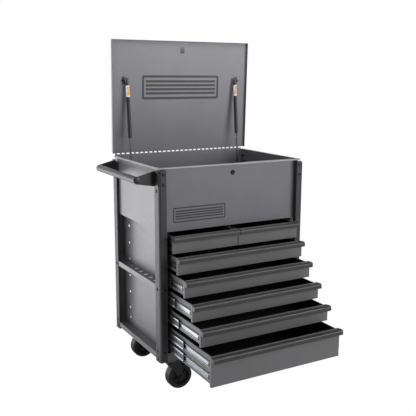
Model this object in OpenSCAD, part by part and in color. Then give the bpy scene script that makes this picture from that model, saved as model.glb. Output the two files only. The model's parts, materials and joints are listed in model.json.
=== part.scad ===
// Rolling tool chest: seven drawers under a lidded box, on four casters.
// The origin is on the floor, under the middle of the cabinet. +X is to the right, -Y is the front.

/* [Cabinet] */
// Width over the corner posts
cart_w = 800; // [760:10:840]
// Depth over the corner posts
cart_d = 560; // [540:10:600]
// Height of the top box's rim above the floor
rim_top = 1096; // [1090:1:1120]
// Width of a post's front face
post_face = 37; // [34:1:40]
// Width of a post's side face
post_side = 50; // [44:1:60]
// Outer radius of a post's bent corner
post_r = 11; // [6:1:14]
// How far the front panel lies behind the post faces
panel_recess = 25; // [20:1:28]
// How far the lower side walls lie behind the post faces
bay_depth = 50; // [50:1:50]

/* [Lid] */
// Depth of the lid from its rear edge to its front edge
lid_depth = 573; // [560:1:580]
// How far the open lid leans forward, in degrees
lid_lean = 2; // [0:0.5:3]
// Depth of the flange round the lid
lid_flange = 13.5; // [10:0.5:14]
// Distance from one lid knuckle of the hinge to the next
knuckle_pitch = 26.4; // [24:0.2:32]

/* [Drawers] */
// Height of the upper drawer fronts
front_h = 79; // [76:1:80]
// Distance from one row of drawers to the next
row_pitch = 89; // [88:1:90]
// Height of the bottom drawer's front
deep_h = 137; // [130:1:137]
// Opening of the top row
open_1 = 57; // [0:1:270]
// Opening of the second row
open_2 = 102; // [0:1:440]
// Opening of the third row
open_3 = 170; // [0:1:440]
// Opening of the fourth row
open_4 = 243; // [0:1:440]
// Opening of the fifth row
open_5 = 320; // [0:1:440]
// Opening of the bottom row
open_6 = 412; // [0:1:440]
// Length of a drawer slide
slide_len = 450; // [440:10:450]

/* [Push handle] */
// Distance from the posts to the middle of the grip bar
handle_reach = 87; // [70:1:110]
// Diameter of the grip bar
handle_bar_d = 33; // [25:1:34]
// Height of the grip bar's middle
handle_z = 1044; // [1040:1:1060]

/* [Casters] */
// Diameter of a wheel
wheel_d = 127; // [120:1:130]
// Width of a wheel's tread
wheel_w = 50; // [40:1:50]
// Distance of a swivel wheel's axle from its pivot
trail = 36; // [30:1:40]

/* [Hidden] */
$fn = 48;

paint = "dimgray";
dark = [0.17, 0.17, 0.18];
steel = "silver";
black = [0.06, 0.06, 0.06];

sheet = 1.5;
eps = 0.01;
over = 1;

// Cabinet
hw = cart_w / 2;
hd = cart_d / 2;
post_t = 2;
post_bottom = 171;
post_top = rim_top - 8;
rear_post_top = rim_top - 28;
side_top = rim_top - 15;
base_z = 158;
box_z = 800;
box_x = hw - 14;
panel_y = -hd + panel_recess;
back_y = hd - post_t;
wall_x = hw - bay_depth;
wall_t = 1.2;
shelf_x = hw - 2;
shelf_y = hd - post_side - 1;
rim_flange = 14;
rim_hem = 11;
bead_r = 3.6;
bead_z = rim_top - 4.2;

// Drawers
row_top = [for (i = [0:5]) 785 - row_pitch * i];
row_open = [open_1, open_2, open_3, open_4, open_5, open_6];
front_x = wall_x - 2;
front_depth = 12;
tray_x = wall_x - 14;
tray_len = 470;
tray_t = 1.2;
mid_x = 14;
slide_start = 19;
mid_back = 37;
rail_x = wall_x - wall_t;
slide_drop = [45, 45, 45, 45, 45, 43];
second_slide_drop = 100;
rail_h = 45;
rail_t = 1.4;
rail_depth = 9.3;
member_h = 25;
screw_y = [-215, 194];

// Lid
hinge_y = hd + 4;
hinge_z = rim_top + 2;
lid_y = hinge_y - 1;
lid_z = hinge_z + 10;
lid_top = lid_z + lid_depth;
knuckle_r = 4;
pin_r = 1.5;
hinge_x = 384;
cam_y = panel_y + 8;
striker_z = hinge_z + hinge_y - cam_y - 1;
lock_z = 1053;

// Gas struts, as [y, z] of their two pivots
strut_x = 320;
strut_low = [215, 1032];
strut_high = [257, 1478];
strut_tilt = atan2(strut_high[0] - strut_low[0], strut_high[1] - strut_low[1]);
strut_len = norm(strut_high - strut_low);

// Push handle
bracket_y = hd - post_side + 3;
bracket_t = 3;

// Casters
axle_z = wheel_d / 2;
caster_x = 310;
caster_y = 214;
plate_t = 4;
fork_top = 143;
leg_y = wheel_w / 2 + 4;
leg_t = 4;
axle_r = 5;

// A block between two opposite corners
module span(lo, hi) {
    translate(lo) cube(hi - lo);
}

// What is drawn for the left side, moved to the side asked for
module on_side(right) {
    mirror([right ? 1 : 0, 0, 0]) children();
}

module on_both_sides() {
    for (right = [false, true]) on_side(right) children();
}

// A cylinder along X from x0 to x1
module rod_x(x0, x1, y, z, r) {
    translate([x0, y, z]) rotate([0, 90, 0]) cylinder(r = r, h = x1 - x0);
}

// A cylinder along Y from y0 to y1
module rod_y(x, y0, y1, z, r) {
    translate([x, y0, z]) rotate([-90, 0, 0]) cylinder(r = r, h = y1 - y0);
}

// ---- Corner posts ----

front_bolt_x = hw - 22;
front_bolt_z = [rim_top - 26, rim_top - 73, 528, 219];
side_bolt_y = hd - 30;
side_bolt_z = [992, 530, 224, 186];
bolt_hole_r = 3.4;

// The bent outline of a post, with its outer corner at the left front, shrunk by t
module post_block(t, z0, z1) {
    r = post_r - t;
    x0 = -hw + t;
    y0 = -hd + t;
    x1 = -hw + post_face - t;
    y1 = -hd + post_side - t;
    span([x0 + r, y0, z0], [x1, y1, z1]);
    span([x0, y0 + r, z0], [x0 + r + eps, y1, z1]);
    translate([x0 + r, y0 + r, z0]) cylinder(r = r, h = z1 - z0);
}

// Left front post: front and side faces, an inner return and a lip towards the box side
module left_post(top, inner_return, front_bolts) {
    lip_x = -box_x - 0.3;
    difference() {
        post_block(0, post_bottom, top);
        post_block(post_t, post_bottom - over, top + over);
        span([lip_x, -hd + inner_return, post_bottom - over],
            [-hw + post_face + over, -hd + post_side + over, top + over]);
        span([-hw - over, -hd - over, side_top], [-hw + post_r, -hd + post_side + over, top + over]);
        for (z = front_bolts) rod_y(-front_bolt_x, -hd - over, -hd + post_t + over, z, bolt_hole_r);
        for (z = side_bolt_z) rod_x(-hw - over, -hw + post_t + over, -side_bolt_y, z, bolt_hole_r);
    }
}

module front_post(right) {
    color(dark) on_side(right) left_post(post_top, panel_recess, front_bolt_z);
}

module rear_post(right) {
    color(dark) on_side(right) mirror([0, 1, 0]) left_post(rear_post_top, post_t, []);
}

// ---- Cabinet sheets ----

// Recessed wall beside the drawers, with a front flange that reaches the post
module side_wall(right) {
    color(paint) on_side(right) {
        span([-wall_x, panel_y + sheet - eps, base_z + 2], [-wall_x + wall_t, back_y - sheet, box_z - 1]);
        span([-hw + post_face, panel_y, apron_top + 1], [-wall_x + wall_t, panel_y + sheet, box_z - 4]);
    }
}

// Upper side sheet with a rolled hem along its rim and a stiffening return at the bottom
module box_side(right) {
    color(paint) on_side(right) {
        span([-box_x, panel_y + sheet, box_z - 1], [-box_x + sheet, back_y - sheet, rim_top]);
        span([-box_x - rim_hem, panel_y + sheet, rim_top - sheet], [-box_x + eps, back_y - sheet, rim_top]);
        rod_y(-box_x - 4, panel_y + sheet, back_y - sheet, bead_z, bead_r);
        span([-box_x, panel_y + sheet, box_z - 1], [-box_x + 12, back_y - sheet, box_z - eps]);
    }
}

// Front of the top box: rolled rim with a slot for the striker, hem at the bottom, hole for the lock
module front_panel() {
    color(paint) difference() {
        union() {
            span([-box_x, panel_y, box_z - 3], [box_x, panel_y + sheet, rim_top]);
            span([-box_x + sheet, panel_y, rim_top - sheet], [box_x - sheet, panel_y + rim_flange - 0.2, rim_top]);
            span([-hw + post_face + 1, panel_y - sheet, box_z - 3],
                [hw - post_face - 1, panel_y + eps, box_z + 20]);
            rod_x(-box_x - 9, box_x + 9, panel_y - 2.4, bead_z, bead_r);
        }
        span([-12, panel_y + sheet + 0.2, rim_top - 3], [12, panel_y + rim_flange + over, rim_top + over]);
        rod_y(0, panel_y - over, panel_y + sheet + over, lock_z, 9.2);
    }
}

module box_floor() {
    color(paint) span([-box_x + sheet, panel_y + sheet, box_z], [box_x - sheet, back_y - sheet, box_z + sheet]);
}

module back_panel() {
    color(paint) span([-box_x, back_y - sheet, base_z + 2], [box_x, back_y, rim_top]);
}

// Pan under the drawers, with an apron at the front and a shelf in each side bay
apron_top = 203;
low_shelf_top = 208;
shelf_lip = 26;
module base_pan() {
    pan_x = hw - post_face - 1;
    color(paint) {
        span([-pan_x, panel_y, base_z], [pan_x, back_y - sheet, base_z + 2]);
        span([-pan_x, panel_y - sheet, base_z], [pan_x, panel_y + eps, apron_top]);
        on_both_sides() {
            side_shelf(low_shelf_top);
            span([-pan_x, -shelf_y, base_z], [-pan_x + sheet, shelf_y, low_shelf_top - sheet + eps]);
        }
    }
}

// Shelf in the left bay with a lip along its outer edge
module side_shelf(top) {
    span([-shelf_x, -shelf_y, top - sheet], [-wall_x, shelf_y, top]);
    span([-shelf_x, -shelf_y, top - shelf_lip], [-shelf_x + sheet, shelf_y, top]);
}

// Shelf in the middle of a side bay, with a row of holes for screwdrivers
shelf_top = 548;
shelf_hole_pitch = 58;
shelf_hole_r = 11;
module mid_shelf(right) {
    color(paint) on_side(right) difference() {
        side_shelf(shelf_top);
        for (i = [-3:3]) translate([-wall_x - 22, i * shelf_hole_pitch, shelf_top - 3])
            cylinder(r = shelf_hole_r, h = 6);
    }
}

// Wall between the two top drawers, hung from the box floor
module drawer_divider() {
    color(paint) {
        span([-1.2, panel_y + slide_start, 706], [1.2, back_y - sheet, box_z - eps]);
        span([-8, panel_y + slide_start, box_z - sheet], [8, back_y - sheet, box_z]);
    }
}

// ---- Fasteners ----

// Button-head bolt with its nut: the head lies below z = 0, the sheet it holds is t thick
module bolt(t) {
    difference() {
        translate([0, 0, -3.5]) cylinder(r1 = 4.5, r2 = 7.5, h = 3.5);
        translate([0, 0, -3.5 - over]) cylinder(r = 2.3, h = 2.6, $fn = 6);
    }
    cylinder(r = 3, h = t + 7);
    translate([0, 0, t]) cylinder(r = 5, h = 4, $fn = 6);
}

module frame_bolts() {
    color(black) on_both_sides() {
        for (z = front_bolt_z) translate([-front_bolt_x, -hd, z]) rotate([-90, 0, 0]) bolt(post_t);
        for (z = side_bolt_z, y = [-side_bolt_y, side_bolt_y])
            translate([-hw, y, z]) rotate([0, 90, 0]) bolt(post_t);
    }
}

// ---- Drawer slides ----

// Heights of the slides of each row
function slide_z(row) = row == 5
    ? [row_top[5] - slide_drop[5], row_top[5] - second_slide_drop]
    : [row_top[row] - slide_drop[row]];

// A channel along Y: its web stands at x, its two flanges point to +X
module channel(x, y, z, h, depth) {
    span([x, y, z - h / 2], [x + rail_t, y + slide_len, z + h / 2]);
    for (edge = [z - h / 2, z + h / 2 - rail_t])
        span([x, y, edge], [x + depth, y + slide_len, edge + rail_t]);
}

module cabinet_rail(x, z) {
    channel(x, panel_y + slide_start, z, rail_h, rail_depth);
}

module slide_rails() {
    color(steel) on_both_sides() {
        for (row = [0:5], z = slide_z(row)) cabinet_rail(-rail_x, z);
        mirror([1, 0, 0]) cabinet_rail(1.2, slide_z(0)[0]);
    }
}

module slide_screws() {
    head_h = 2.6;
    color(steel) on_both_sides() for (row = [0:5], z = slide_z(row), y = screw_y)
        translate([-wall_x, y, z]) rotate([0, -90, 0]) cylinder(r1 = 7.5, r2 = 5, h = head_h);
}

// Middle members of a row's slides, with a black stop on each front end
module slide_mid(row) {
    mid_h = 39;
    mid_web = -rail_x + 2.6;
    y = panel_y + slide_start + mid_back - row_open[row] / 2;
    on_both_sides() for (z = slide_z(row)) {
        color(steel) channel(mid_web, y, z, mid_h, 8.7);
        color(black) difference() {
            span([mid_web, y - 4, z - mid_h / 2], [mid_web + 8.4, y, z + mid_h / 2]);
            span([mid_web + 2.3, y - 5, z - 15.2], [mid_web + 10, y + over, z + 15.2]);
        }
    }
}

// ---- Drawers ----

// A tray between x0 and x1 behind a front between fx0 and fx1; y = 0 is the outer face
module tray(x0, x1, fx0, fx1, top, h) {
    z0 = top - h;
    floor_z = z0 + 4;
    wall_top = top - 4;
    difference() {
        span([fx0, 0, z0], [fx1, front_depth, top]);
        span([fx0 + sheet, sheet, z0 - over], [fx1 - sheet, front_depth - sheet, top - sheet]);
    }
    span([x0, front_depth - eps, floor_z], [x1, tray_len, floor_z + tray_t]);
    span([x0, tray_len - tray_t, floor_z], [x1, tray_len, top - 12]);
    for (x = [x0, x1 - tray_t]) span([x, front_depth - eps, floor_z], [x + tray_t, tray_len, wall_top]);
    span([x0 - 4, front_depth + 1, wall_top - tray_t], [x0 + eps, tray_len, wall_top]);
    span([x1 - eps, front_depth + 1, wall_top - tray_t], [x1 + 4, tray_len, wall_top]);
}

// The slide members that are fixed to a tray's side at x, open towards its own side
module tray_member(x, z, h, left) {
    translate([x, 0, 0]) mirror([left ? 0 : 1, 0, 0]) mirror([1, 0, 0]) channel(0, slide_start, z, h, 7.4);
}

module drawer(row) {
    h = row == 5 ? deep_h : front_h;
    translate([0, panel_y - row_open[row], 0]) {
        color(paint) tray(-tray_x, tray_x, -front_x, front_x, row_top[row], h);
        color(steel) for (z = slide_z(row)) {
            tray_member(-tray_x, z, member_h, true);
            tray_member(tray_x, z, member_h, false);
        }
    }
}

module top_drawer(right) {
    translate([0, panel_y - row_open[0], 0]) on_side(right) {
        color(paint) tray(-tray_x, -mid_x, -front_x, -2, row_top[0], front_h);
        color(steel) {
            tray_member(-tray_x, slide_z(0)[0], 39, true);
            tray_member(-mid_x, slide_z(0)[0], 39, false);
        }
    }
}

// Pull along the top of a drawer front: a rounded hook, open below for the fingers
pull_h = 23;
pull_out = 24;
pull_t = 3.2;
pull_r = 8;
module pull(x0, x1, top) {
    lip_in = -pull_out + pull_t;
    translate([x0, 0, top]) difference() {
        union() {
            span([0, -pull_out + pull_r, -pull_h], [x1 - x0, 0, 0]);
            span([0, -pull_out, -pull_h], [x1 - x0, 0, -pull_r]);
            rod_x(0, x1 - x0, -pull_out + pull_r, -pull_r, pull_r);
        }
        span([pull_t, lip_in + pull_r - pull_t, -pull_h - over], [x1 - x0 - pull_t, -pull_t, -pull_t]);
        span([pull_t, lip_in, -pull_h - over], [x1 - x0 - pull_t, -pull_t, -pull_r]);
        rod_x(pull_t, x1 - x0 - pull_t, -pull_out + pull_r, -pull_r, pull_r - pull_t);
    }
}

module row_pull(row) {
    color(dark) translate([0, panel_y - row_open[row], 0]) pull(-front_x - 2, front_x + 2, row_top[row]);
}

module top_pull(right) {
    color(dark) translate([0, panel_y - row_open[0], 0]) on_side(right)
        pull(-front_x - 2, -2, row_top[0]);
}

// ---- Lock ----

module lock_housing() {
    color(steel) difference() {
        union() {
            rod_y(0, panel_y + sheet, panel_y + 24, lock_z, 12);
            rod_y(0, panel_y - 1.2, panel_y, lock_z, 12);
            rod_y(0, panel_y - eps, panel_y + sheet + eps, lock_z, 9);
        }
        rod_y(0, panel_y - 3, panel_y + 30, lock_z, 7.5);
        span([-14, cam_y - 1, lock_z - 14], [0, cam_y + 3, lock_z + 14]);
        span([-1, cam_y - 1, lock_z], [14, cam_y + 3, lock_z + 14]);
    }
}

// Core with a key slot and a hooked cam; turned by 90 degrees, the hook lies over the striker
module lock_core() {
    hook_r = 32;
    arm_w = 6;
    color(steel) {
        difference() {
            rod_y(0, panel_y - 3, panel_y + 26, lock_z, 7.2);
            span([-1, panel_y - 4, lock_z - 4.5], [1, panel_y - 1, lock_z + 4.5]);
        }
        translate([0, cam_y, lock_z]) rotate([0, -20, 0]) {
            span([-hook_r, 0, -arm_w / 2], [0, 2, arm_w / 2]);
            difference() {
                rotate([-90, 0, 0]) cylinder(r = hook_r, h = 2);
                translate([0, -over, 0]) rotate([-90, 0, 0]) cylinder(r = hook_r - 4, h = 4);
                span([0, -over, -40], [40, 4, 40]);
                span([-40, -over, -40], [40, 4, 0]);
                rotate([0, 40, 0]) span([-40, -over, 0], [40, 4, 60]);
            }
        }
    }
}

// ---- Hinge ----

knuckles = floor(2 * hinge_x / knuckle_pitch);
knuckle_x0 = -knuckles * knuckle_pitch / 2;
lid_tab_w = 0.38 * knuckle_pitch;
cabinet_tab_w = knuckle_pitch - lid_tab_w - 0.8;
leaf_top = hinge_z - knuckle_r - 0.5;

// Fixed leaf with its own knuckles and the pin
module hinge_leaf_cabinet() {
    color(steel) {
        span([-hinge_x, back_y, rear_post_top + 1], [hinge_x, back_y + 1.8, leaf_top]);
        for (i = [0:knuckles - 1]) {
            x = knuckle_x0 + i * knuckle_pitch + lid_tab_w + 0.6;
            difference() {
                union() {
                    rod_x(x, x + cabinet_tab_w, hinge_y, hinge_z, knuckle_r);
                    span([x, back_y, hinge_z - 6.6], [x + cabinet_tab_w, hinge_y, hinge_z - 2.4]);
                }
                rod_x(x - over, x + cabinet_tab_w + over, hinge_y, hinge_z, pin_r + 0.05);
            }
        }
        rod_x(-hinge_x, hinge_x, hinge_y, hinge_z, pin_r);
    }
}

// Turns what is drawn on an upright lid to the open lid's own lean
module leaning() {
    translate([0, hinge_y, hinge_z]) rotate([lid_lean, 0, 0]) translate([0, -hinge_y, -hinge_z]) children();
}

// Moving leaf: windows show between its tabs
module hinge_leaf_lid() {
    color(steel) leaning() {
        span([-hinge_x, lid_y + sheet, lid_z], [hinge_x, lid_y + sheet + 1.5, lid_z + 24]);
        for (i = [0:knuckles - 1]) {
            x = knuckle_x0 + i * knuckle_pitch + 0.2;
            difference() {
                union() {
                    rod_x(x, x + lid_tab_w, hinge_y, hinge_z, knuckle_r);
                    span([x, lid_y + sheet, hinge_z], [x + lid_tab_w, lid_y + sheet + 1.5, lid_z + eps]);
                }
                rod_x(x - over, x + lid_tab_w + over, hinge_y, hinge_z, pin_r + 0.1);
            }
        }
    }
}

// ---- Lid, standing open ----

module lid_panel() {
    color(paint) leaning() {
        span([-hw, lid_y, lid_z], [hw, lid_y + sheet, lid_top]);
        on_both_sides() span([-hw, lid_y - lid_flange, lid_z], [-hw + sheet, lid_y + eps, lid_top]);
        span([-hw, lid_y - lid_flange, lid_top - sheet], [hw, lid_y + eps, lid_top]);
    }
}

// Foot and a wire loop that the lock's hook catches
module lid_striker() {
    loop_out = 20;
    wire_r = 1.5;
    leg = 5;
    foot_t = 0.8;
    color(steel) leaning() {
        span([-11, lid_y - foot_t, striker_z - 8], [11, lid_y, striker_z + 24]);
        for (dz = [-leg, leg]) rod_y(0, lid_y - loop_out, lid_y - foot_t + eps, striker_z + dz, wire_r);
        translate([0, lid_y - loop_out, striker_z - leg - wire_r]) cylinder(r = wire_r, h = 2 * (leg + wire_r));
    }
}

// ---- Gas struts ----

// Plates on the box sides, each with a stud for a strut's lower end
module strut_brackets() {
    color(black) on_both_sides() {
        span([-box_x + sheet, strut_low[0] - 12, strut_low[1] - 14],
            [-box_x + sheet + 3, strut_low[0] + 50, strut_low[1] + 44]);
        rod_x(-box_x + sheet, -strut_x + 7, strut_low[0], strut_low[1], 4);
        rod_x(-box_x + sheet + 3, -box_x + 16, strut_low[0] + 34, strut_low[1] + 30, 6);
    }
}

// Feet on the lid, each with a stud for a strut's upper end
module strut_studs() {
    dy = strut_high[0] - hinge_y;
    dz = strut_high[1] - hinge_z;
    y = hinge_y + dy * cos(lid_lean) + dz * sin(lid_lean);
    z = hinge_z - dy * sin(lid_lean) + dz * cos(lid_lean);
    color(black) leaning() on_both_sides() {
        span([-strut_x - 22, lid_y - 2.5, z - 20], [-strut_x - 8, lid_y, z + 20]);
        span([-strut_x - 14, y - 7, z - 7], [-strut_x - 11, lid_y - 2, z + 7]);
        rod_x(-strut_x - 11.5, -strut_x + 5, y, z, 4);
    }
}

// Puts a strut part, drawn along +Z from its lower pivot, in its place on the left side
module strut_place(right) {
    on_side(right) translate([-strut_x, strut_low[0], strut_low[1]]) rotate([-strut_tilt, 0, 0]) children();
}

rod_r = 4;
tube_r = 9.5;
tube_start = 160;
tube_end = strut_len - 20;
module strut_rod(right) {
    color(steel) strut_place(right) difference() {
        union() {
            translate([0, 0, 8]) cylinder(r = rod_r, h = 271);
            translate([0, 0, 6]) cylinder(r = 6, h = 12);
            rotate([0, 90, 0]) translate([0, 0, -5]) cylinder(r = 9, h = 10);
        }
        rotate([0, 90, 0]) translate([0, 0, -8]) cylinder(r = 4.35, h = 16);
    }
}

// Tube with a socket at its top that is open towards the lid
module strut_tube(right) {
    color(black) strut_place(right) difference() {
        union() {
            translate([0, 0, tube_start]) cylinder(r = tube_r, h = tube_end - tube_start);
            translate([0, 0, tube_end - eps]) cylinder(r = 6, h = 10);
            translate([-4.5, -8.5, strut_len - 14]) cube([9, 15, 26]);
        }
        translate([0, 0, tube_start - over]) cylinder(r = rod_r + 0.4, h = 12);
        translate([0, 0, tube_start + 6]) cylinder(r = tube_r - 1.5, h = tube_end - tube_start - 12);
        translate([-6, -5, strut_len - 8]) cube([12, 22, 16]);
    }
}

// ---- Push handle on the left side ----

module handle_bar() {
    color(paint) difference() {
        rod_y(-hw - handle_reach, -bracket_y, bracket_y, handle_z, handle_bar_d / 2);
        rod_y(-hw - handle_reach, -bracket_y + 6, bracket_y - 6, handle_z, handle_bar_d / 2 - 2);
    }
}

// Blade from the post to the bar's end, and the plate that bolts to the post
module handle_bracket() {
    r = handle_bar_d / 2 + 0.5;
    top = rim_top - 13;
    low = rim_top - 84;
    bar_x = -hw - handle_reach;
    outline = [[-hw - 1, low], [-hw - 1, top], [bar_x, handle_z + r], [bar_x, handle_z - r]];
    translate([0, bracket_y + bracket_t, 0]) rotate([90, 0, 0]) linear_extrude(bracket_t) polygon(outline);
    rod_y(bar_x, bracket_y, bracket_y + bracket_t, handle_z, r);
    span([-hw - 3, bracket_y, low], [-hw, bracket_y + 38, top]);
}

module handle_brackets() {
    color(black) {
        handle_bracket();
        mirror([0, 1, 0]) handle_bracket();
    }
}

// ---- Casters ----

module caster_plates() {
    color(steel) for (x = [-caster_x, caster_x], y = [-caster_y, caster_y]) translate([x, y, base_z]) {
        translate([-50, -46, -plate_t]) cube([100, 92, plate_t]);
        for (dx = [-41, 41], dy = [-32, 32]) translate([dx, dy, -plate_t - 5]) cylinder(r = 6.5, h = 5, $fn = 6);
    }
}

// Two legs that hold an axle at x = reach below a head at x = 0, with the head's top at z = top
module caster_legs(reach, top) {
    head = 32;
    eye = 13;
    for (y = [-leg_y - leg_t, leg_y]) translate([0, y + leg_t, 0]) rotate([90, 0, 0]) {
        linear_extrude(leg_t) polygon([[-head, top], [head, top], [reach + eye, axle_z], [reach - eye, axle_z]]);
        translate([reach, axle_z, 0]) cylinder(r = eye, h = leg_t);
    }
    rod_y(reach, -leg_y - leg_t - 4, leg_y + leg_t + 4, axle_z, axle_r);
    for (y = [-leg_y - leg_t - 6, leg_y + leg_t]) rod_y(reach, y, y + 6, axle_z, 8.5);
}

module caster_fork(y) {
    color(black) translate([-caster_x, y, 0]) {
        caster_legs(trail, fork_top);
        translate([-32, -leg_y - leg_t, fork_top - 4]) cube([64, 2 * (leg_y + leg_t), 4]);
        translate([0, 0, fork_top - eps]) cylinder(r = 31, h = base_z - plate_t - fork_top - 0.5);
    }
}

module rigid_caster_rigs() {
    top = base_z - plate_t;
    color(black) for (y = [-caster_y, caster_y]) translate([caster_x, y, 0]) {
        caster_legs(0, top);
        translate([-32, -leg_y - leg_t, top - 4]) cube([64, 2 * (leg_y + leg_t), 4]);
    }
}

module wheel(x, y) {
    half = wheel_w / 2;
    r = wheel_d / 2;
    hub_r = 17;
    hub_half = leg_y - 0.8;
    bore_r = axle_r + 0.35;
    side = [[bore_r, hub_half], [hub_r, hub_half], [hub_r, half - 6], [r - 19, half - 6],
        [r - 16, half], [r - 6, half], [r, half - 7]];
    flipped = [for (i = [len(side) - 1:-1:0]) [side[i][0], -side[i][1]]];
    color(black) translate([x, y, axle_z]) rotate([90, 0, 0]) rotate_extrude() polygon(concat(side, flipped));
}

front_post(false);  // post_front_left
front_post(true);  // post_front_right
rear_post(false);  // post_rear_left
rear_post(true);  // post_rear_right
side_wall(false);  // side_wall_left
side_wall(true);  // side_wall_right
box_side(false);  // box_side_left
box_side(true);  // box_side_right
front_panel();
box_floor();
back_panel();
base_pan();
mid_shelf(false);  // mid_shelf_left
mid_shelf(true);  // mid_shelf_right
drawer_divider();
handle_bar();
handle_brackets();
lock_housing();
hinge_leaf_cabinet();
strut_brackets();
slide_rails();
slide_screws();
frame_bolts();
caster_plates();
rigid_caster_rigs();
lid_panel();
hinge_leaf_lid();
lid_striker();
strut_studs();
strut_rod(false);  // strut_rod_left
strut_rod(true);  // strut_rod_right
strut_tube(false);  // strut_tube_left
strut_tube(true);  // strut_tube_right
lock_core();
top_drawer(false);  // drawer_1_left
top_drawer(true);  // drawer_1_right
drawer(1);  // drawer_2
drawer(2);  // drawer_3
drawer(3);  // drawer_4
drawer(4);  // drawer_5
drawer(5);  // drawer_6
top_pull(false);  // handle_1_left
top_pull(true);  // handle_1_right
row_pull(1);  // handle_2
row_pull(2);  // handle_3
row_pull(3);  // handle_4
row_pull(4);  // handle_5
row_pull(5);  // handle_6
slide_mid(1);  // slide_mid_2
slide_mid(2);  // slide_mid_3
slide_mid(3);  // slide_mid_4
slide_mid(4);  // slide_mid_5
slide_mid(5);  // slide_mid_6
caster_fork(-caster_y);  // caster_fork_front
caster_fork(caster_y);  // caster_fork_rear
wheel(-caster_x + trail, -caster_y);  // wheel_front_left
wheel(-caster_x + trail, caster_y);  // wheel_rear_left
wheel(caster_x, -caster_y);  // wheel_front_right
wheel(caster_x, caster_y);  // wheel_rear_right
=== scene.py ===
"""Looks of the rolling tool chest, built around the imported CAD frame.

Metres throughout, +Z is up and the front faces -Y.
"""
import json
import math

import bmesh
import bpy
from mathutils import Matrix, Vector


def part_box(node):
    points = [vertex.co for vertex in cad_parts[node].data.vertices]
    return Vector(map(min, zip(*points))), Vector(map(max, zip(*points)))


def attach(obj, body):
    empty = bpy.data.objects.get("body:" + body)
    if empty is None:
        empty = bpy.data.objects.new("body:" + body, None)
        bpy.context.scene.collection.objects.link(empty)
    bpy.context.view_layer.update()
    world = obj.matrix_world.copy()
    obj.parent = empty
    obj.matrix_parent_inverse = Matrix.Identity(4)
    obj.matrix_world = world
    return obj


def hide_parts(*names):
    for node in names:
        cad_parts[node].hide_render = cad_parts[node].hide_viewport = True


MM = 0.001

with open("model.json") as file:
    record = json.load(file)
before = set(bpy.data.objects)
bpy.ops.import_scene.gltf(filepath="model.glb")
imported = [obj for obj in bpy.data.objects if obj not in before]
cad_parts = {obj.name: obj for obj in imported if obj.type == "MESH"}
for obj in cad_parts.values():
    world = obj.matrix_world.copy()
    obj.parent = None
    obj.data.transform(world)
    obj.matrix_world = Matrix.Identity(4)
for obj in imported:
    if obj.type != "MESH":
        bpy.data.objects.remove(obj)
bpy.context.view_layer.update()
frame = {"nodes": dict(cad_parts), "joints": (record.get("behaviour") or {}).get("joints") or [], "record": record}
record = frame["record"]
nodes = frame["nodes"]
joints = {j["name"]: j for j in frame["joints"]}
body_of_node = {n: b for b, members in record["behaviour"]["bodies"].items() for n in members}


# ---- Names and sizes of the CAD parts that the looks fit against ----

DRAWERS = ["1_left", "1_right", "2", "3", "4", "5", "6"]
ROWS_WITH_MIDDLE = ["2", "3", "4", "5", "6"]
SIDES = ("left", "right")
WHEELS = ("wheel_front_left", "wheel_rear_left", "wheel_front_right", "wheel_rear_right")

BOX_SHEET = 1.5 * MM
RIM_HEIGHT = 8.6 * MM
LID_LEAN = math.radians(2)

# A drawer: the depth of its front, where its slide members start behind the front's face, how far
# the tray's walls stand in from the drawer's box, the tray's sheet, and how far the tray's
# underside stands above the front's lower edge.
FRONT_DEPTH = 12 * MM
SLIDE_START = 19 * MM
TRAY_INSET = 12 * MM
TRAY_SHEET = 1.2 * MM
TRAY_FLOOR = 4 * MM

# The block at the front end of a middle slide member.
STOP_DEPTH = 4 * MM

# A gas strut, measured along its axis from the lower stud.
STRUT_LENGTH = 448 * MM
TUBE_START = 160 * MM
TUBE_RADIUS = 9.5 * MM

WELD_DISTANCE = 1e-6


# ---- Camera ----

CAMERA_AZIMUTH = math.radians(-29.49)
CAMERA_ELEVATION = math.radians(11.22)
CAMERA_ROLL = math.radians(0.28)
CAMERA_DISTANCE = 3.456
CAMERA_TARGET = Vector((0.0079, -0.0039, 0.8337))
FOCAL_LENGTH = 57.91
SENSOR = 36.0


def make_camera():
    """The camera of the rest view; azimuth 0 looks along +Y."""
    a, e = CAMERA_AZIMUTH, CAMERA_ELEVATION
    back = Vector((math.sin(a) * math.cos(e), -math.cos(a) * math.cos(e), math.sin(e)))
    right = Vector((math.cos(a), math.sin(a), 0))
    up = back.cross(right)
    turned_right = right * math.cos(CAMERA_ROLL) + up * math.sin(CAMERA_ROLL)
    turned_up = back.cross(turned_right)
    data = bpy.data.cameras.new("camera")
    data.lens = FOCAL_LENGTH
    data.sensor_width = SENSOR
    data.clip_end = 100
    camera = bpy.data.objects.new("camera", data)
    axes = Matrix((turned_right, turned_up, back)).transposed().to_4x4()
    camera.matrix_world = Matrix.Translation(CAMERA_TARGET + back * CAMERA_DISTANCE) @ axes
    bpy.context.scene.collection.objects.link(camera)
    bpy.context.scene.camera = camera


# ---- Materials ----

def node_tree(name):
    """A new material with its node tree and its shader."""
    material = bpy.data.materials.new(name)
    material.use_nodes = True
    tree = material.node_tree
    return material, tree, tree.nodes["Principled BSDF"]


def add_noise(tree, scale, detail, stretch=(1, 1, 1)):
    """A noise texture in object space; stretch scales the space along each axis."""
    coords = tree.nodes.new("ShaderNodeTexCoord")
    mapping = tree.nodes.new("ShaderNodeMapping")
    mapping.inputs["Scale"].default_value = stretch
    noise = tree.nodes.new("ShaderNodeTexNoise")
    noise.inputs["Scale"].default_value = scale
    noise.inputs["Detail"].default_value = detail
    tree.links.new(coords.outputs["Object"], mapping.inputs["Vector"])
    tree.links.new(mapping.outputs["Vector"], noise.inputs["Vector"])
    return noise.outputs["Fac"]


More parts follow.
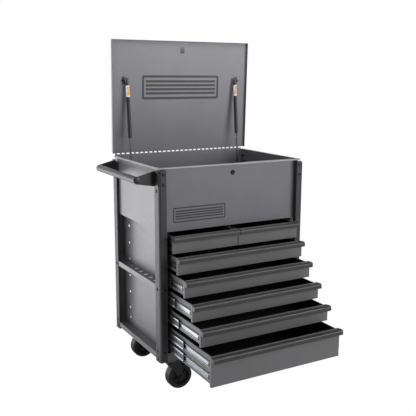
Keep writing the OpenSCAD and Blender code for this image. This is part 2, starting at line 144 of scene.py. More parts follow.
def ramp(tree, factor, low, high, start=0.35, end=0.65):
    """A colour ramp from low to high as factor goes from start to end."""
    node = tree.nodes.new("ShaderNodeValToRGB")
    node.color_ramp.elements[0].position = start
    node.color_ramp.elements[1].position = end
    node.color_ramp.elements[0].color = (*low, 1)
    node.color_ramp.elements[1].color = (*high, 1)
    tree.links.new(factor, node.inputs["Fac"])
    return node.outputs["Color"]


def grey(value):
    return (value, value, value)


def vary(tree, shader, color, spread, scale, stretch=(1, 1, 1)):
    """Lets the base colour drift by spread, as a share of the colour."""
    low = [c * (1 - spread) for c in color]
    high = [min(1, c * (1 + spread)) for c in color]
    factor = add_noise(tree, scale, 3, stretch)
    tree.links.new(ramp(tree, factor, low, high), shader.inputs["Base Color"])


def vary_roughness(tree, shader, rough, spread, scale, stretch=(1, 1, 1)):
    """Lets the roughness drift by spread to either side."""
    factor = add_noise(tree, scale, 2, stretch)
    output = ramp(tree, factor, grey(rough - spread), grey(rough + spread))
    tree.links.new(output, shader.inputs["Roughness"])


def add_bump(tree, shader, height, strength, distance):
    """Bumps the shader's normal with a height texture."""
    bump = tree.nodes.new("ShaderNodeBump")
    bump.inputs["Strength"].default_value = strength
    bump.inputs["Distance"].default_value = distance
    tree.links.new(height, bump.inputs["Height"])
    tree.links.new(bump.outputs["Normal"], shader.inputs["Normal"])


def powder_coat(name, color, rough, peel=0.25):
    """Sprayed and baked paint: a fine orange peel, and slight changes of tone and gloss."""
    material, tree, shader = node_tree(name)
    vary(tree, shader, color, spread=0.035, scale=9)
    vary_roughness(tree, shader, rough, spread=0.04, scale=60)
    shader.inputs["Coat Weight"].default_value = 0.12
    shader.inputs["Coat Roughness"].default_value = 0.35
    add_bump(tree, shader, add_noise(tree, scale=850, detail=2), peel, distance=0.0002)
    return material


def plated_metal(name, color, rough, brush=(1, 1, 1), spread=0.08):
    """Plated or brushed steel; brush stretches its fine scratches."""
    material, tree, shader = node_tree(name)
    shader.inputs["Metallic"].default_value = 1
    vary(tree, shader, color, spread, scale=40, stretch=brush)
    vary_roughness(tree, shader, rough, spread=0.04, scale=60, stretch=brush)
    scratches = add_noise(tree, scale=300, detail=2, stretch=brush)
    add_bump(tree, shader, scratches, strength=0.01, distance=0.0001)
    return material


def moulded(name, color, rough, grain=0.35, scale=1400):
    """Moulded plastic or rubber with a fine grain."""
    material, tree, shader = node_tree(name)
    vary(tree, shader, color, spread=0.12, scale=25)
    vary_roughness(tree, shader, rough, spread=0.06, scale=90)
    add_bump(tree, shader, add_noise(tree, scale, detail=2), grain, distance=0.0002)
    return material


PANEL = powder_coat("panel_paint", (0.137, 0.133, 0.149), 0.36)
DRAWER = powder_coat("drawer_paint", (0.120, 0.117, 0.122), 0.44)
POST = powder_coat("post_paint", (0.018, 0.018, 0.019), 0.50)
PULL = powder_coat("pull_paint", (0.022, 0.022, 0.023), 0.36)
GRIP = powder_coat("grip_paint", (0.052, 0.052, 0.054), 0.45)
# Lighter grey for the rolled rims of the top box: a painted highlight, not a paint of their own.
RIM_HIGHLIGHT = powder_coat("rim_painted_highlight", (0.34, 0.34, 0.36), 0.34)
BLACK = powder_coat("black_paint", (0.006, 0.006, 0.007), 0.40)
# Near black for the drawers' inside faces: painted shade.
INNER_SHADE = powder_coat("inner_painted_shade", (0.010, 0.010, 0.011), 0.60)
ZINC = plated_metal("zinc", (0.50, 0.52, 0.56), 0.33, (1, 0.02, 1), 0.03)
# A darker copy of the zinc: painted shade that stands for dark reflections on the slide members' webs.
ZINC_PAINTED_SHADE = plated_metal("zinc_painted_shade", (0.15, 0.16, 0.18), 0.42, (1, 0.05, 1))
SCREW = plated_metal("screw_zinc", (0.85, 0.86, 0.88), 0.28)
DARK_CHROME = plated_metal("dark_chrome", (0.10, 0.10, 0.105), 0.28, spread=0.05)
# Black plastic; the same material also makes the dark discs that stand for openings in the slides, as painted
# shade.
BLACK_PLASTIC_AND_HOLE_SHADE = moulded("black_plastic_and_hole_shade", (0.005, 0.005, 0.006), 0.40)
BALL = moulded("black_ball", (0.006, 0.006, 0.007), 0.18, 0.05)
LINER = moulded("liner_foam", (0.006, 0.006, 0.007), 0.85, 0.6, 900)
TYRE = moulded("tyre_rubber", (0.012, 0.012, 0.0125), 0.55, 0.5, 900)
HUB = moulded("hub_plastic", (0.010, 0.010, 0.011), 0.45)
DECAL = moulded("decal_film", (0.014, 0.014, 0.016), 0.45, 0.1)
LABEL_WHITE = moulded("label_white", (0.80, 0.80, 0.78), 0.40, 0.1)
LABEL_ORANGE = moulded("label_orange", (0.75, 0.33, 0.05), 0.40, 0.1)


# ---- Mesh helpers ----

def finish_piece(name, bm, material, body, sharp=35):
    """Turns a bmesh into an object that rides on a body."""
    bmesh.ops.recalc_face_normals(bm, faces=bm.faces)
    mesh = bpy.data.meshes.new(name)
    bm.to_mesh(mesh)
    bm.free()
    for polygon in mesh.polygons:
        polygon.use_smooth = True
    mesh.set_sharp_from_angle(angle=math.radians(sharp))
    mesh.materials.append(material)
    piece = bpy.data.objects.new(name, mesh)
    bpy.context.scene.collection.objects.link(piece)
    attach(piece, body)
    return piece


def add_block(bm, lo, hi, radius=0.0, segments=2):
    """A block between two corners, with rounded edges."""
    lo, hi = Vector(lo), Vector(hi)
    made = bmesh.ops.create_cube(bm, size=1)
    verts = made["verts"]
    for v in verts:
        v.co = Vector(((v.co[i] + 0.5) * (hi[i] - lo[i]) + lo[i] for i in range(3)))
    if radius:
        edges = list({e for v in verts for e in v.link_edges})
        bmesh.ops.bevel(bm, geom=edges, offset=radius, segments=segments, profile=0.5, affect="EDGES")


def axis_frame(axis):
    """Two directions square to axis."""
    axis = Vector(axis).normalized()
    side = axis.orthogonal().normalized()
    return axis, side, axis.cross(side)


def add_lathe(bm, centre, axis, profile, steps=48):
    """Turns (distance along axis, radius) points round axis; a radius of 0 closes the end."""
    axis, side, other = axis_frame(axis)
    centre = Vector(centre)
    rings = []
    for along, radius in profile:
        middle = centre + axis * along
        if radius <= 0:
            rings.append([bm.verts.new(middle)])
            continue
        ring = []
        for i in range(steps):
            turn = math.tau * i / steps
            outward = side * math.cos(turn) + other * math.sin(turn)
            ring.append(bm.verts.new(middle + outward * radius))
        rings.append(ring)
    for a, b in zip(rings, rings[1:]):
        for i in range(steps):
            j = (i + 1) % steps
            corners = [a[i % len(a)], a[j % len(a)], b[j % len(b)], b[i % len(b)]]
            unique = list(dict.fromkeys(corners))
            if len(unique) > 2:
                bm.faces.new(unique)


def arc(centre, radius, start, end, count):
    """Points of an arc in a profile's plane; angles are in degrees."""
    points = []
    for i in range(count + 1):
        turn = math.radians(start + (end - start) * i / count)
        points.append((centre[0] + radius * math.cos(turn), centre[1] + radius * math.sin(turn)))
    return points


def solids_of(node):
    """(lowest, highest) corners of each separate solid in a CAD node."""
    bm = bmesh.new()
    bm.from_mesh(nodes[node].data)
    bmesh.ops.remove_doubles(bm, verts=bm.verts, dist=WELD_DISTANCE)
    bm.verts.ensure_lookup_table()
    seen = set()
    boxes = []
    for start in bm.verts:
        if start in seen:
            continue
        seen.add(start)
        stack = [start]
        island = []
        while stack:
            v = stack.pop()
            island.append(v.co.copy())
            for e in v.link_edges:
                other = e.other_vert(v)
                if other not in seen:
                    seen.add(other)
                    stack.append(other)
        lo = Vector([min(c[i] for c in island) for i in range(3)])
        hi = Vector([max(c[i] for c in island) for i in range(3)])
        boxes.append((lo, hi))
    bm.free()
    return boxes


# ---- CAD nodes that stay: materials, softened edges ----

def paint(node, *materials):
    """Puts the materials on a CAD node; every face gets the first one."""
    data = nodes[node].data
    data.materials.clear()
    for material in materials:
        data.materials.append(material)
    for polygon in data.polygons:
        polygon.material_index = 0


def paint_where(node, index, test):
    """Gives the faces whose middle passes the test the material at index."""
    for polygon in nodes[node].data.polygons:
        if test(polygon.center):
            polygon.material_index = index


def soften(node, width=0.4 * MM, segments=2, least_angle=40):
    """Rounds the sharp edges of a CAD node, with modifiers only."""
    obj = nodes[node]
    weld = obj.modifiers.new("weld", "WELD")
    weld.merge_threshold = WELD_DISTANCE
    bevel = obj.modifiers.new("bevel", "BEVEL")
    bevel.width = width
    bevel.segments = segments
    bevel.limit_method = "ANGLE"
    bevel.angle_limit = math.radians(least_angle)
    bevel.use_clamp_overlap = True
    bevel.harden_normals = False
    for polygon in obj.data.polygons:
        polygon.use_smooth = True
    weighted = obj.modifiers.new("normals", "WEIGHTED_NORMAL")
    weighted.keep_sharp = True


def paint_cad():
    """Gives every CAD node that stays its materials and softened edges."""
    plain = {
        PANEL: ["side_wall_left", "side_wall_right", "box_side_left", "box_side_right", "front_panel",
                "box_floor", "back_panel", "base_pan", "mid_shelf_left", "mid_shelf_right",
                "drawer_divider", "lid_panel", "hinge_leaf_lid", "hinge_leaf_cabinet"],
        POST: ["post_front_left", "post_front_right", "post_rear_left", "post_rear_right"],
        GRIP: ["handle_bar"],
        BLACK: ["handle_brackets", "strut_brackets", "strut_studs", "caster_fork_front",
                "caster_fork_rear", "rigid_caster_rigs", "strut_tube_left", "strut_tube_right"],
        # The slide rails and caster plates get the darkened zinc, which is painted shade.
        ZINC_PAINTED_SHADE: ["slide_rails", "caster_plates"],
        DARK_CHROME: ["strut_rod_left", "strut_rod_right"],
        BALL: ["lock_housing", "lock_core", "lid_striker"],
        PULL: ["handle_" + d for d in DRAWERS],
    }
    for material, names in plain.items():
        for name in names:
            paint(name, material)
            soften(name)
    paint_rim_highlights()
    paint_strut_plates()
    for d in DRAWERS:
        paint_drawer("drawer_" + d)
    for row in ROWS_WITH_MIDDLE:
        paint_middle_slide("slide_mid_" + row)


def paint_rim_highlights():
    """Paints a highlight on the rolled edges round the top box: their faces near the top get a lighter colour."""
    sheet_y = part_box("box_floor")[0].y - BOX_SHEET
    sheet_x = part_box("back_panel")[1].x
    proud = 0.2 * MM
    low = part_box("front_panel")[1].z - RIM_HEIGHT
    for node in ("front_panel", "box_side_left", "box_side_right"):
        nodes[node].data.materials.append(RIM_HIGHLIGHT)
    # The rim faces get the lighter colour, which is a painted highlight.
    paint_where("front_panel", 1, lambda c: c.z > low and c.y < sheet_y - proud)
    for node in ("box_side_left", "box_side_right"):
        paint_where(node, 1, lambda c: c.z > low and abs(c.x) > sheet_x + proud)


def paint_strut_plates():
    """The plates that hold the struts' lower studs have the box's paint."""
    nodes["strut_brackets"].data.materials.append(PANEL)
    plate_thickness = 3.2 * MM
    plate_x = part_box("strut_brackets")[1].x - plate_thickness
    paint_where("strut_brackets", 1, lambda c: abs(c.x) > plate_x)


def paint_drawer(node):
    """Painted tray with near-black painted shade on its inside faces, and bright slide members outside its walls.
    """
    paint(node, DRAWER, ZINC, INNER_SHADE)
    lo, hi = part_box(node)
    hem_height = 6 * MM
    slack = 0.1 * MM
    member_x = TRAY_INSET - 0.05 * MM
    member_y = lo.y + SLIDE_START - slack
    hem_z = hi.z - hem_height

    def is_member(c):
        outside = c.x < lo.x + member_x or c.x > hi.x - member_x
        return outside and c.y > member_y and c.z < hem_z

    most_of_sheet = 0.9 * MM
    wall_inside = TRAY_INSET + most_of_sheet
    floor_inside = lo.z + 5 * MM

    def is_inside(c):
        between_walls = lo.x + wall_inside < c.x < hi.x - wall_inside
        between_ends = lo.y + FRONT_DEPTH - slack < c.y < hi.y - most_of_sheet
        return between_walls and between_ends and c.z > floor_inside

    paint_where(node, 1, is_member)
    # The inside faces get the near-black painted shade.
    paint_where(node, 2, is_inside)
    soften(node)


def slide_tips(row):
    """Black plastic tips in the front ends of a drawer's slide members."""
    bm = bmesh.new()
    lo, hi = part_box("drawer_" + row)
    front = lo.y + SLIDE_START
    gap, depth, half_height, length, rounding = 1 * MM, 6.5 * MM, 9 * MM, 17 * MM, 0.8 * MM
    heights = {round((low.z + high.z) / 2, 4) for low, high in solids_of("slide_mid_" + row)}
    for z in heights:
        for wall, sign in ((lo.x + TRAY_INSET, -1), (hi.x - TRAY_INSET, 1)):
            x0, x1 = sorted((wall + sign * gap, wall + sign * depth))
            low_corner = (x0, front, z - half_height)
            high_corner = (x1, front + length, z + half_height)
            add_block(bm, low_corner, high_corner, rounding)
    finish_piece("slide_tips_" + row, bm, BLACK_PLASTIC_AND_HOLE_SHADE, body_of_node["drawer_" + row])


def paint_middle_slide(node):
    """Zinc darkened as painted shade, with a black block at the front end."""
    slack = 0.1 * MM
    paint(node, ZINC_PAINTED_SHADE, BLACK_PLASTIC_AND_HOLE_SHADE)
    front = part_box(node)[0].y + STOP_DEPTH + slack
    paint_where(node, 1, lambda c: c.y < front)
    soften(node, width=0.2 * MM)


# Distance behind the stop and radius of each dark disc, painted shade that stands for a hole in a middle slide
# member.
SLIDE_HOLES = [(0.030, 2.6 * MM), (0.064, 3.4 * MM), (0.071, 3.4 * MM), (0.078, 3.4 * MM),
               (0.150, 2.6 * MM), (0.230, 2.6 * MM), (0.320, 2.6 * MM)]


def raceways(node):
    """Rolled edges in bright zinc on the middle slide members' outer faces, painted highlights against the web's
    painted shade, and dark discs of painted shade, each standing for a hole.
    """
    shortest_channel = 100 * MM
    channels = {}
    for lo, hi in solids_of(node):
        if hi.y - lo.y > shortest_channel:
            key = (lo.x > 0, round(lo.z, 4))
            channels[key] = (lo, hi)
    edges = bmesh.new()
    hole_shade = bmesh.new()
    edge_height = 6.5 * MM
    edge_sunk, edge_proud, edge_rounding = 0.2 * MM, 0.5 * MM, 0.3 * MM
    hole_sunk, hole_thickness, hole_steps = 0.1 * MM, 0.15 * MM, 20
    for (right, _), (lo, hi) in channels.items():
        sign = 1 if right else -1
        face = hi.x if right else lo.x
        inner, outer = sorted((face - sign * edge_sunk, face + sign * edge_proud))
        y0 = lo.y + STOP_DEPTH
        for z0, z1 in ((lo.z, lo.z + edge_height), (hi.z - edge_height, hi.z)):
            add_block(edges, (inner, y0, z0), (outer, hi.y, z1), edge_rounding)
        middle = (lo.z + hi.z) / 2
        for back, radius in SLIDE_HOLES:
            foot = Vector((face - sign * hole_sunk, y0 + back, middle))
            disc = [(0, radius), (hole_thickness, radius), (hole_thickness, 0)]
            add_lathe(hole_shade, foot, (sign, 0, 0), disc, hole_steps)
    # The edge strips keep the bright zinc as painted highlights.
    finish_piece("raceways_" + node, edges, ZINC, body_of_node[node])
    # The discs are painted shade in black, standing for openings in the slide members.
    finish_piece("holes_" + node, hole_shade, BLACK_PLASTIC_AND_HOLE_SHADE, body_of_node[node])


# ---- Liners ----

RIB_PITCH = 9 * MM
RIB_HEIGHT = 0.8 * MM
STEPS_PER_RIB = 4
LINER_THICKNESS = 2.2 * MM


def ribbed_mat(name, lo, hi, body):
    """A mat between two corners with rounded ribs along X on its top."""
    bm = bmesh.new()
    count = max(1, round((hi.y - lo.y) / RIB_PITCH))
    steps = count * STEPS_PER_RIB
    outline = [(lo.y, lo.z)]
    for i in range(steps + 1):
        y = lo.y + (hi.y - lo.y) * i / steps
        wave = 0.5 - 0.5 * math.cos(math.tau * i / STEPS_PER_RIB)
        outline.append((y, hi.z - RIB_HEIGHT * (1 - wave)))
    outline.append((hi.y, lo.z))
    ends = [[bm.verts.new((x, y, z)) for y, z in outline] for x in (lo.x, hi.x)]
    for i in range(len(outline)):
        j = (i + 1) % len(outline)
        bm.faces.new((ends[0][i], ends[0][j], ends[1][j], ends[1][i]))
    for end in ends:
        bm.faces.new(end)
    return finish_piece(name, bm, LINER, body)


def drawer_liner(node):
    """The mat on a drawer's floor."""
    lo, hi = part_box(node)
    gap = 0.6 * MM
    floor_z = lo.z + TRAY_FLOOR + TRAY_SHEET
    inset = TRAY_INSET + TRAY_SHEET + gap
    low = Vector((lo.x + inset, lo.y + FRONT_DEPTH + gap, floor_z))
    high = Vector((hi.x - inset, hi.y - TRAY_SHEET - gap, floor_z + LINER_THICKNESS))
    ribbed_mat("liner_" + node, low, high, body_of_node[node])


def box_liner():
    """The mat on the floor of the top box."""
    lo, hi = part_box("box_floor")
    gap = 1.5 * MM
    low = Vector((lo.x + gap, lo.y + gap, hi.z))
    high = Vector((hi.x - gap, hi.y - gap, hi.z + LINER_THICKNESS))
    ribbed_mat("liner_top_box", low, high, "cabinet")


# ---- Fasteners ----

def dome_head(bm, foot, axis, radius, height, socket, steps=20):
    """A domed head with a hollow for the key, standing on foot along axis."""
    rise = []
    for angle in (0, 20, 40, 58):
        turn = math.radians(angle)
        rise.append((height * math.sin(turn), radius * math.cos(turn)))
    rim = (height, socket + 0.3 * MM)
    hollow = [(height, socket), (height * 0.45, socket * 0.9), (height * 0.45, 0)]
    add_lathe(bm, foot, axis, [(0, radius)] + rise + [rim] + hollow, steps)


def frame_bolt_heads():
    """Button heads over the frame's bolts, with their shanks and nuts."""
    bm = bmesh.new()
    side_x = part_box("post_front_left")[0].x
    front_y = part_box("post_front_left")[0].y
    head_radius, head_height, key_radius = 8.5 * MM, 4 * MM, 2.3 * MM
    shank_radius, shank_length = 3 * MM, 9 * MM
    nut_radius, nut_near, nut_far = 5 * MM, 2 * MM, 6 * MM
    shank = [(0, shank_radius), (shank_length, shank_radius), (shank_length, 0)]
    nut = [(nut_near, shank_radius), (nut_near, nut_radius), (nut_far, nut_radius), (nut_far, shank_radius)]
    for lo, hi in solids_of("frame_bolts"):
        middle = (lo + hi) / 2
        if lo.y < front_y:
            foot, axis = Vector((middle.x, front_y, middle.z)), Vector((0, -1, 0))
        else:
            sign = 1 if middle.x > 0 else -1
            foot, axis = Vector((-side_x * sign, middle.y, middle.z)), Vector((sign, 0, 0))
        dome_head(bm, foot, axis, head_radius, head_height, key_radius)
        add_lathe(bm, foot, -axis, shank, steps=16)
        add_lathe(bm, foot, -axis, nut, steps=6)
    bolts = finish_piece("bolt_heads", bm, BLACK_PLASTIC_AND_HOLE_SHADE, "cabinet")
    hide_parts("frame_bolts")


def slide_screw_heads():
    """Domed heads with a round hollow on the outside of the lower side walls."""
    bm = bmesh.new()
    head_radius, head_height, key_radius = 7.5 * MM, 2.6 * MM, 1.3 * MM
    wall_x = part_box("slide_screws")[1].x - head_height
    for lo, hi in solids_of("slide_screws"):
        middle = (lo + hi) / 2
        sign = 1 if middle.x > 0 else -1
        foot = Vector((wall_x * sign, middle.y, middle.z))
        dome_head(bm, foot, (sign, 0, 0), head_radius, head_height, key_radius)
    screws = finish_piece("slide_screw_heads", bm, SCREW, "cabinet")
    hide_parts("slide_screws")


# ---- Wheels ----

WHEEL_HALF_WIDTH = 25 * MM
WHEEL_SHOULDER = 9 * MM
WHEEL_BORE = 5.35 * MM
RIM_RADIUS = 45 * MM
SPOKES = 6
WHEEL_STEPS = 96


def tyre_of(node, centre, radius):
    """A tyre with rounded shoulders."""
    half, rim, shoulder = WHEEL_HALF_WIDTH, RIM_RADIUS, WHEEL_SHOULDER
    side = arc((half - shoulder, radius - shoulder), shoulder, 0, 90, 8)
    upper = [(half - 2 * MM, rim), (half, rim + 3 * MM)] + side
    mirrored = [(-x, r) for x, r in reversed(upper)]
    bm = bmesh.new()
    add_lathe(bm, centre, (0, 1, 0), upper + mirrored + [upper[0]], WHEEL_STEPS)
    tyre = finish_piece("tyre_" + node, bm, TYRE, body_of_node[node])
    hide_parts(node)


def add_spoke(hub, centre, turn, y0, y1):
    """One rounded spoke, turned round the wheel's axle and put into the hub's bmesh."""
    half_width, foot, top, rounding = 3 * MM, 16 * MM, RIM_RADIUS - 4.5 * MM, 1 * MM
    spoke = bmesh.new()
    add_block(spoke, (-half_width, y0, foot), (half_width, y1, top), rounding)
    rotation = Matrix.Rotation(turn, 3, "Y")
    bmesh.ops.rotate(spoke, verts=spoke.verts, cent=(0, 0, 0), matrix=rotation)
    bmesh.ops.translate(spoke, verts=spoke.verts, vec=centre)
    temporary = bpy.data.meshes.new("spoke")
    spoke.to_mesh(temporary)
    spoke.free()
    hub.from_mesh(temporary)
    bpy.data.meshes.remove(temporary)


def hub_of(node, centre, hub_half):
    """A plastic hub, hollow between its rim and its boss, with spokes on both sides."""
    rim = RIM_RADIUS
    face = WHEEL_HALF_WIDTH - 3 * MM
    deep = WHEEL_HALF_WIDTH - 12 * MM
    outer = [(face, rim + 0.2 * MM), (face, rim - 3 * MM), (face - 2 * MM, rim - 4 * MM),
             (deep, rim - 6 * MM), (deep, 19 * MM), (face, 17 * MM), (hub_half - 1 * MM, 15.5 * MM),
             (hub_half, 14.5 * MM), (hub_half, WHEEL_BORE)]
    back = [(-x, r) for x, r in reversed(outer)]
    hub = bmesh.new()
    add_lathe(hub, centre, (0, 1, 0), outer + back + [outer[0]], WHEEL_STEPS)
    for side_sign in (-1, 1):
        y0, y1 = sorted((side_sign * (deep - 1 * MM), side_sign * (face - 1.5 * MM)))
        for i in range(SPOKES):
            add_spoke(hub, centre, math.tau * i / SPOKES, y0, y1)
    finish_piece("hub_" + node, hub, HUB, body_of_node[node], sharp=30)


def wheel(node):
    """A tyre on a spoked hub in place of a CAD wheel."""
    lo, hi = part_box(node)
    centre = (lo + hi) / 2
    tyre_of(node, centre, (hi.z - lo.z) / 2)
    hub_of(node, centre, (hi.y - lo.y) / 2)


# ---- Gas struts ----

LABEL_LENGTH = 58 * MM
LABEL_TOP = STRUT_LENGTH - 25 * MM
LABEL_BASE = LABEL_TOP - LABEL_LENGTH
LABEL_RADIUS = TUBE_RADIUS + 0.15 * MM


def strut_label(side, pivot, axis):
    """The plain white label round the tube."""
    edge = TUBE_RADIUS - 0.5 * MM
    profile = [(LABEL_BASE, edge), (LABEL_BASE, LABEL_RADIUS), (LABEL_TOP, LABEL_RADIUS), (LABEL_TOP, edge)]
    bm = bmesh.new()
    add_lathe(bm, pivot, axis, profile, steps=40)
    finish_piece("strut_label_" + side, bm, LABEL_WHITE, "strut_tube_" + side)


def strut_stripe(side, pivot, axis):
    """A curved orange patch on the front of the label."""
    margin = 7 * MM
    half_angle, angle_step, columns = 32, 8, 9
    sunk, proud = 0.1 * MM, 0.12 * MM
    front = Vector((0, -1, 0))
    across = axis.cross(front).normalized()
    outward = across.cross(axis).normalized()
    if outward.y > 0:
        outward.negate()
    rows = []
    for z in (LABEL_BASE + margin, LABEL_TOP - margin):
        row = []
        for i in range(columns):
            turn = math.radians(angle_step * i - half_angle)
            direction = outward * math.cos(turn) + across * math.sin(turn)
            row.append((pivot + axis * z, direction))
        rows.append(row)
    bm = bmesh.new()
    shells = []
    for radius in (LABEL_RADIUS - sunk, LABEL_RADIUS + proud):
        shells.append([[bm.verts.new(p + d * radius) for p, d in row] for row in rows])
    inner, outer = shells
    last = columns - 1
    for i in range(last):
        for shell in shells:
            bm.faces.new((shell[0][i], shell[0][i + 1], shell[1][i + 1], shell[1][i]))
        for r in (0, 1):
            bm.faces.new((inner[r][i], inner[r][i + 1], outer[r][i + 1], outer[r][i]))
    for i in (0, last):
        bm.faces.new((inner[0][i], inner[1][i], outer[1][i], outer[0][i]))
    finish_piece("strut_stripe_" + side, bm, LABEL_ORANGE, "strut_tube_" + side)


def strut_cap(side, pivot, axis):
    """The plastic cap where the rod enters the tube."""
    start, bore = TUBE_START, 4.4 * MM
    profile = [(start - 2 * MM, bore), (start - 2 * MM, 7.5 * MM), (start - 0.5 * MM, 9.2 * MM),
               (start + 5 * MM, 9.8 * MM), (start + 6 * MM, 9.4 * MM), (start + 6 * MM, bore),
               (start - 2 * MM, bore)]
    bm = bmesh.new()
    add_lathe(bm, pivot, axis, profile, steps=40)
    finish_piece("strut_cap_" + side, bm, BLACK_PLASTIC_AND_HOLE_SHADE, "strut_tube_" + side)


def strut_ball(side, pivot, axis):
    """The ball on the lid's stud, beside the end of the strut."""
    radius, beside, behind, half_steps = 8.5 * MM, 14.5 * MM, 2 * MM, 16
    sign = 1 if pivot.x > 0 else -1
    centre = pivot + axis * STRUT_LENGTH + Vector((sign * beside, behind, 0))
    turns = [math.pi * i / half_steps for i in range(half_steps + 1)]
    profile = [(-radius * math.cos(t), radius * math.sin(t)) for t in turns]
    profile[0], profile[-1] = (-radius, 0), (radius, 0)
    bm = bmesh.new()
    add_lathe(bm, centre, (0, 1, 0), profile, steps=32)
    finish_piece("strut_ball_" + side, bm, BALL, "lid")


def strut_details(side):
    """Label, end cap and ball joint of one strut."""
    pivot = Vector(joints["strut_pivot_" + side]["pos_m"])
    axis = Vector(joints["strut_stroke_" + side]["axis"]).normalized()
    strut_label(side, pivot, axis)
    strut_stripe(side, pivot, axis)
    strut_cap(side, pivot, axis)
    strut_ball(side, pivot, axis)


# ---- Plain decals ----

def add_plate_outline(bm, centre, width, height, radius, thickness, y0, y1, steps=6):
    """A rounded rectangular frame in the XZ plane, from y0 to y1."""
    rings = []
    for inset in (0, thickness):
        w, h, r = width / 2 - inset, height / 2 - inset, max(radius - inset, 0.5 * MM)
        corners = ((w - r, h - r, 0), (-w + r, h - r, 90), (-w + r, -h + r, 180), (w - r, -h + r, 270))
        points = []
        for cx, cz, start in corners:
            points += arc((centre.x + cx, centre.z + cz), r, start, start + 90, steps)
        rings.append(points)
    loops = [[[bm.verts.new((x, y, z)) for x, z in ring] for ring in rings] for y in (y0, y1)]
    count = len(rings[0])
    for i in range(count):
        j = (i + 1) % count
        for layer in loops:
            bm.faces.new((layer[0][i], layer[0][j], layer[1][j], layer[1][i]))
        for r in (0, 1):
            bm.faces.new((loops[0][r][i], loops[0][r][j], loops[1][r][j], loops[1][r][i]))


def decal(name, body, centre, width, height, line, lean=0):
    """A plain frame round four level stripes on a face towards -Y.

    lean turns the decal about the lid's hinge.
    """
    film, sunk = 0.15 * MM, 0.05 * MM
    stripes = 4
    corner_share, margin_share, stripe_share = 0.10, 0.17, 0.58
    bm = bmesh.new()
    y0 = centre.y
    y1 = centre.y - film
    add_plate_outline(bm, centre, width, height, height * corner_share, line, y0, y1)
    margin = height * margin_share
    pitch = (height - 2 * margin) / stripes
    stripe = pitch * stripe_share
    low_x, high_x = centre.x - width / 2 + margin, centre.x + width / 2 - margin
    for i in range(stripes):
        z = centre.z - height / 2 + margin + pitch * (i + 0.5)
        add_block(bm, (low_x, y1, z - stripe / 2), (high_x, y0 + sunk, z + stripe / 2))
    hinge = Vector(joints["lid_hinge"]["pos_m"])
    bmesh.ops.rotate(bm, verts=bm.verts, cent=hinge, matrix=Matrix.Rotation(lean, 3, "X"))
    finish_piece(name, bm, DECAL, body)


def decals():
    """One decal inside the lid and a smaller one low on the front panel."""
    hinge_to_face = 1 * MM
    lid_face = joints["lid_hinge"]["pos_m"][1] - hinge_to_face
    lid_centre = Vector((-0.004, lid_face, 1.443))
    decal("lid_decal", "lid", lid_centre, width=0.456, height=0.124, line=0.012, lean=LID_LEAN)
    panel_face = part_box("box_floor")[0].y - BOX_SHEET
    panel_centre = Vector((-0.1785, panel_face, 0.872))
    decal("panel_decal", "cabinet", panel_centre, width=0.280, height=0.071, line=0.006)


# ---- Small trim ----

def handle_end_caps():
    """Rounded plugs in both ends of the grip bar."""
    lo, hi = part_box("handle_bar")
    centre = (lo + hi) / 2
    radius = (hi.x - lo.x) / 2
    bm = bmesh.new()
    past_bar = 3 * MM
    out = 3 * MM
    for sign, y in ((-1, lo.y), (1, hi.y)):
        foot = Vector((centre.x, y + sign * past_bar, centre.z))
        profile = [(-1 * MM, radius - 2 * MM), (0, radius), (out * 0.6, radius - 0.6 * MM),
                   (out, radius - 3 * MM), (out, 0)]
        add_lathe(bm, foot, (0, sign, 0), profile, 48)
    finish_piece("handle_end_caps", bm, BLACK, "cabinet")


# ---- Stage and light ----

WHITE = (1, 1, 1, 1)


def mix_by_camera_ray(tree, lighting, seen, output):
    """Shows the camera one shader and lights the scene with the other."""
    path = tree.nodes.new("ShaderNodeLightPath")
    mix = tree.nodes.new("ShaderNodeMixShader")
    tree.links.new(path.outputs["Is Camera Ray"], mix.inputs["Fac"])
    tree.links.new(lighting, mix.inputs[1])
    tree.links.new(seen, mix.inputs[2])
    tree.links.new(mix.outputs["Shader"], tree.nodes[output].inputs["Surface"])


def make_stage():
    """A wide floor that the camera sees as plain white."""
    bm = bmesh.new()
    size = 12
    corners = [(-size, -size, 0), (size, -size, 0), (size, size, 0), (-size, size, 0)]
    bm.faces.new([bm.verts.new(c) for c in corners])
    mesh = bpy.data.meshes.new("floor")
    bm.to_mesh(mesh)
    bm.free()
    material, tree, shader = node_tree("floor_white")
    shader.inputs["Base Color"].default_value = (0.85, 0.85, 0.85, 1)
    shader.inputs["Roughness"].default_value = 0.9
    seen = tree.nodes.new("ShaderNodeEmission")
    seen.inputs["Color"].default_value = WHITE
    seen.inputs["Strength"].default_value = 1.0
    mix_by_camera_ray(tree, shader.outputs["BSDF"], seen.outputs["Emission"], "Material Output")
    mesh.materials.append(material)
    floor = bpy.data.objects.new("floor", mesh)
    bpy.context.scene.collection.objects.link(floor)


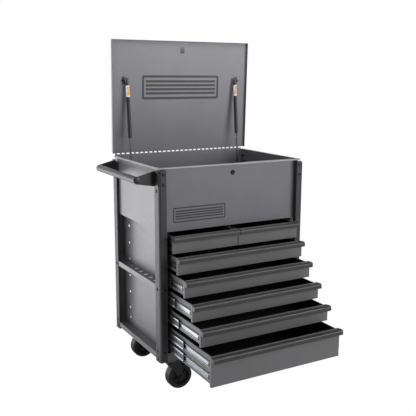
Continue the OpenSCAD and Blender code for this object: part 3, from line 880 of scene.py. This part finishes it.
def area_light(name, place, aim, width, height, power):
    """A rectangular softbox aimed at a point."""
    data = bpy.data.lights.new(name, "AREA")
    data.shape = "RECTANGLE"
    data.size = width
    data.size_y = height
    data.energy = power
    light = bpy.data.objects.new(name, data)
    light.location = place
    light.rotation_euler = (Vector(aim) - Vector(place)).to_track_quat("-Z", "Y").to_euler()
    bpy.context.scene.collection.objects.link(light)


WORLD_LIGHT = 0.20


# Name, place, point it is aimed at, width, height (metres) and power (watts).
LIGHTS = [
    ("softbox_left", (-3.1, 2.9, 0.75), (-0.4, 0, 0.6), 3.0, 1.7, 57),
    ("softbox_side", (-3.4, -0.6, 1.6), (0, 0, 0.7), 2.0, 2.0, 12),
    ("top_front", (0.2, -0.35, 2.7), (0, 0.28, 1.7), 1.6, 0.7, 20),
    ("front_right", (2.2, -3.6, 2.0), (0, -0.3, 0.7), 3.0, 2.4, 112),
    ("backdrop", (0, 4.6, 1.6), (0, 0, 1.2), 8.0, 3.2, 75),
    ("floor_glow", (-2.4, 1.6, 0.004), (-2.4, 1.6, 1.0), 3.4, 5.0, 84),
]


def make_light():
    """A dim world that the camera sees as white, and the area lights."""
    world = bpy.data.worlds.new("studio")
    world.use_nodes = True
    tree = world.node_tree
    background = tree.nodes["Background"]
    background.inputs["Color"].default_value = WHITE
    background.inputs["Strength"].default_value = WORLD_LIGHT
    seen = tree.nodes.new("ShaderNodeBackground")
    seen.inputs["Color"].default_value = WHITE
    seen.inputs["Strength"].default_value = 1.0
    mix_by_camera_ray(tree, background.outputs["Background"], seen.outputs["Background"], "World Output")
    bpy.context.scene.world = world
    for light in LIGHTS:
        area_light(*light)
    bpy.context.scene.view_settings.view_transform = "Standard"
    bpy.context.scene.view_settings.look = "None"


make_camera()
paint_cad()
for drawer_name in DRAWERS:
    drawer_liner("drawer_" + drawer_name)
for slide_row in ROWS_WITH_MIDDLE:
    raceways("slide_mid_" + slide_row)
    slide_tips(slide_row)
box_liner()
frame_bolt_heads()
slide_screw_heads()
for wheel_name in WHEELS:
    wheel(wheel_name)
for strut_side in SIDES:
    strut_details(strut_side)
decals()
handle_end_caps()
make_stage()
make_light()
